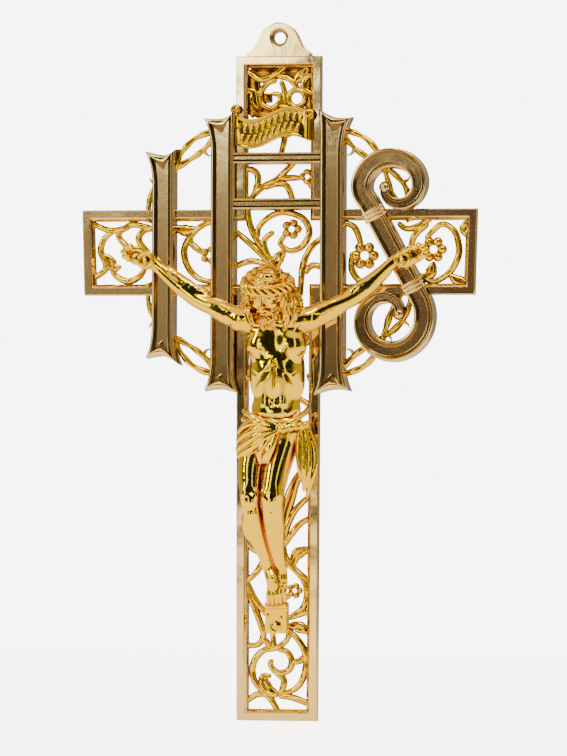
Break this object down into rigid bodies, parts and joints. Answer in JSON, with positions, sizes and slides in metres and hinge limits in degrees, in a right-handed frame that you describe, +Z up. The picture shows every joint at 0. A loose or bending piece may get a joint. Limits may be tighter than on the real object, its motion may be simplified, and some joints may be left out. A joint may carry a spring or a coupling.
{
  "type": "wall crucifix",
  "caption": "Openwork brass wall crucifix: a filigree Latin cross with raised bars, a thorn wreath and a riveted cast figure, hung by the hole in its top lug.",
  "frame": {"origin": "flat back of the hanging lug, just under its hole, in the plane of the cross's flat back", "axes": "+Z up along the shaft, +X to the viewer's right along the arms, +Y out of the back towards the wall; the front faces -Y"},
  "size_m": [0.172, 0.0338, 0.2996],
  "materials": {
    "polished_brass": "polished cast brass, yellowed by an old lacquer, golden in the hollows of the filigree",
    "golden_brass": "polished cast brass with a warm golden lacquer, dark in the deepest folds"
  },
  "bodies": {
    "root": {"cross": "polished_brass", "corpus": "golden_brass", "rivet_left_hand": "golden_brass", "rivet_right_hand": "golden_brass", "rivet_feet": "golden_brass"}
  },
  "joints": []
}
